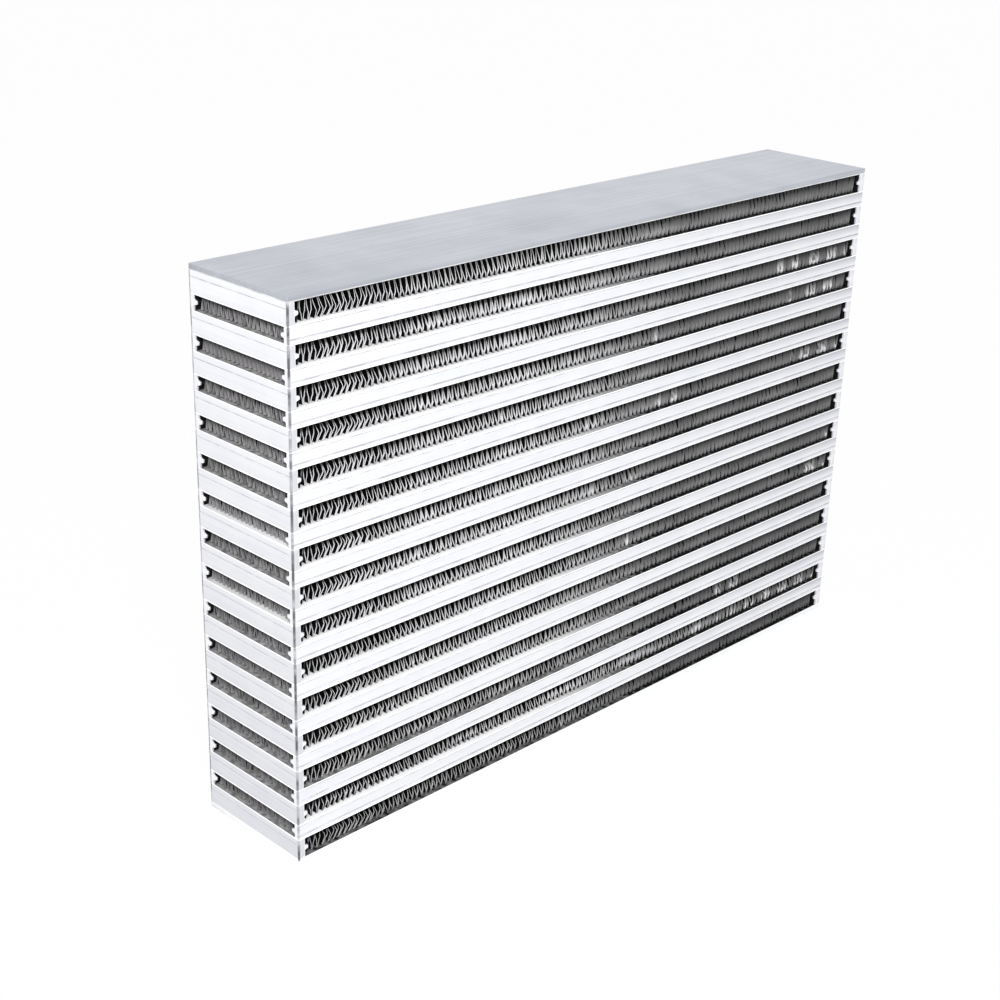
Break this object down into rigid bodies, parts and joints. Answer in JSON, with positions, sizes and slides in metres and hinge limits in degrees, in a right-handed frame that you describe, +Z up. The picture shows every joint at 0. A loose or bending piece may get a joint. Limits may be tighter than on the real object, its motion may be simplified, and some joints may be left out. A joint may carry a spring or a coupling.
{
  "type": "intercooler core",
  "caption": "Bar-and-plate intercooler core: brazed aluminium block of stacked air passages with folded fins, flat side plates above and below, and open flat ends where end tanks are welded on.",
  "frame": {"origin": "middle of the underside of the bottom side plate", "axes": "+X along the length, the way the charge air flows; +Y from front to back, the way the cooling air flows; +Z up through the stack"},
  "size_m": [0.4572, 0.0762, 0.3046],
  "materials": {
    "side_plate": "mill-rolled aluminium plate after brazing, fine lengthwise rolling lines",
    "sheet_and_bars": "drawn aluminium bar and clad sheet after brazing, pale and satin",
    "ambient_fin": "thin rolled aluminium strip, folded, brazed",
    "charge_fin": "thin rolled aluminium strip, folded, brazed"
  },
  "bodies": {
    "root": {"ambient_fin_01": "ambient_fin", "ambient_fin_02": "ambient_fin", "ambient_fin_03": "ambient_fin", "ambient_fin_04": "ambient_fin", "ambient_fin_05": "ambient_fin", "ambient_fin_06": "ambient_fin", "ambient_fin_07": "ambient_fin", "ambient_fin_08": "ambient_fin", "ambient_fin_09": "ambient_fin", "ambient_fin_10": "ambient_fin", "ambient_fin_11": "ambient_fin", "ambient_fin_12": "ambient_fin", "ambient_fin_13": "ambient_fin", "ambient_fin_14": "ambient_fin", "ambient_fin_15": "ambient_fin", "ambient_sheet_and_bars_02": "sheet_and_bars", "ambient_sheet_and_bars_03": "sheet_and_bars", "ambient_sheet_and_bars_04": "sheet_and_bars", "ambient_sheet_and_bars_05": "sheet_and_bars", "ambient_sheet_and_bars_06": "sheet_and_bars", "ambient_sheet_and_bars_07": "sheet_and_bars", "ambient_sheet_and_bars_08": "sheet_and_bars", "ambient_sheet_and_bars_09": "sheet_and_bars", "ambient_sheet_and_bars_10": "sheet_and_bars", "ambient_sheet_and_bars_11": "sheet_and_bars", "ambient_sheet_and_bars_12": "sheet_and_bars", "ambient_sheet_and_bars_13": "sheet_and_bars", "ambient_sheet_and_bars_14": "sheet_and_bars", "ambient_sheet_and_bars_15": "sheet_and_bars", "bottom_side_plate": "side_plate", "charge_fin_01": "charge_fin", "charge_fin_02": "charge_fin", "charge_fin_03": "charge_fin", "charge_fin_04": "charge_fin", "charge_fin_05": "charge_fin", "charge_fin_06": "charge_fin", "charge_fin_07": "charge_fin", "charge_fin_08": "charge_fin", "charge_fin_09": "charge_fin", "charge_fin_10": "charge_fin", "charge_fin_11": "charge_fin", "charge_fin_12": "charge_fin", "charge_fin_13": "charge_fin", "charge_fin_14": "charge_fin", "charge_sheet_and_bars_01": "sheet_and_bars", "charge_sheet_and_bars_02": "sheet_and_bars", "charge_sheet_and_bars_03": "sheet_and_bars", "charge_sheet_and_bars_04": "sheet_and_bars", "charge_sheet_and_bars_05": "sheet_and_bars", "charge_sheet_and_bars_06": "sheet_and_bars", "charge_sheet_and_bars_07": "sheet_and_bars", "charge_sheet_and_bars_08": "sheet_and_bars", "charge_sheet_and_bars_09": "sheet_and_bars", "charge_sheet_and_bars_10": "sheet_and_bars", "charge_sheet_and_bars_11": "sheet_and_bars", "charge_sheet_and_bars_12": "sheet_and_bars", "charge_sheet_and_bars_13": "sheet_and_bars", "charge_sheet_and_bars_14": "sheet_and_bars", "top_side_plate": "side_plate"}
  },
  "joints": []
}
